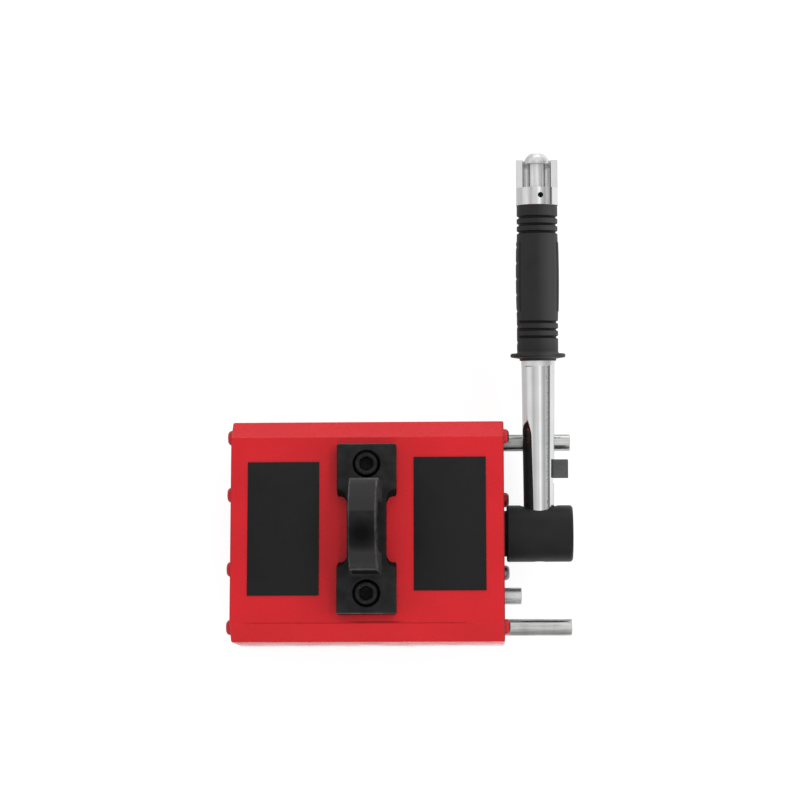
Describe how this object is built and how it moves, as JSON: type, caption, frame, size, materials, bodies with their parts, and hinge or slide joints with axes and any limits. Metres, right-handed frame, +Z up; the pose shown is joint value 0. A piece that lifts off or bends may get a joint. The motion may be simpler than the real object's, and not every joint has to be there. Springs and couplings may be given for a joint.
{
  "type": "permanent magnetic lifter",
  "caption": "Painted magnet block with a lifting eye on top and a side handle that turns its rotor on and off, with a push button and latch key on the handle.",
  "frame": {"origin": "on the lifting face, under the middle of the lifting eye", "axes": "+X along the block towards the handle hub, +Y across the block towards the resting handle, +Z up"},
  "size_m": [0.2549, 0.3601, 0.16],
  "materials": {
    "red_paint": "glossy red paint over steel",
    "black_coating": "satin black coating",
    "black_screw": "black oxide steel",
    "bright_pin": "turned bright steel",
    "handle_chrome": "bright chrome plating",
    "grip_rubber": "matt black moulded rubber",
    "key_steel": "dark blued steel",
    "rotor_steel": "machined steel",
    "spring_steel": "spring steel",
    "magnet_plating": "nickel plated magnet",
    "spacer_brass": "milled brass",
    "bush_iron": "dark oil-soaked sintered iron"
  },
  "bodies": {
    "block": {"front_pole_shoe": "red_paint", "back_pole_shoe": "red_paint", "top_spacer": "red_paint", "bottom_spacer": "spacer_brass", "fixed_magnets": "magnet_plating", "drive_end_plate": "red_paint", "rear_end_plate": "red_paint", "drive_plate_screws": "red_paint", "rear_plate_screws": "red_paint", "drive_bush": "bush_iron", "rear_bush": "bush_iron", "lifting_eye": "black_coating", "eye_screws": "black_screw", "back_stop_pin": "bright_pin", "front_stop_pin": "bright_pin", "short_pin": "bright_pin"},
    "handle": {"rotor_front_segment": "rotor_steel", "rotor_back_segment": "rotor_steel", "rotor_magnets": "magnet_plating", "drive_shaft": "rotor_steel", "rear_stub_shaft": "rotor_steel", "rotor_screws": "black_screw", "hub": "black_coating", "hub_set_screw": "black_screw", "handle_bar": "handle_chrome", "grip": "grip_rubber", "guard_cap": "handle_chrome", "cap_set_screw": "black_screw", "return_spring": "spring_steel"},
    "button": {"push_button": "handle_chrome", "push_rod": "rotor_steel", "latch_key": "key_steel", "key_pin": "spring_steel"}
  },
  "joints": [
    {"name": "handle_turn", "type": "hinge", "parent": "block", "child": "handle", "pos_m": [0.126, 0, 0.052], "axis": [1, 0, 0], "range_deg": [0, 162]},
    {"name": "button_press", "type": "slide", "parent": "handle", "child": "button", "axis": [0, -0.9877, -0.1564], "range_m": [0, 0.0035], "stiffness_N_per_m": 2000, "springref_m": -0.004, "deforming": ["return_spring"]}
  ]
}
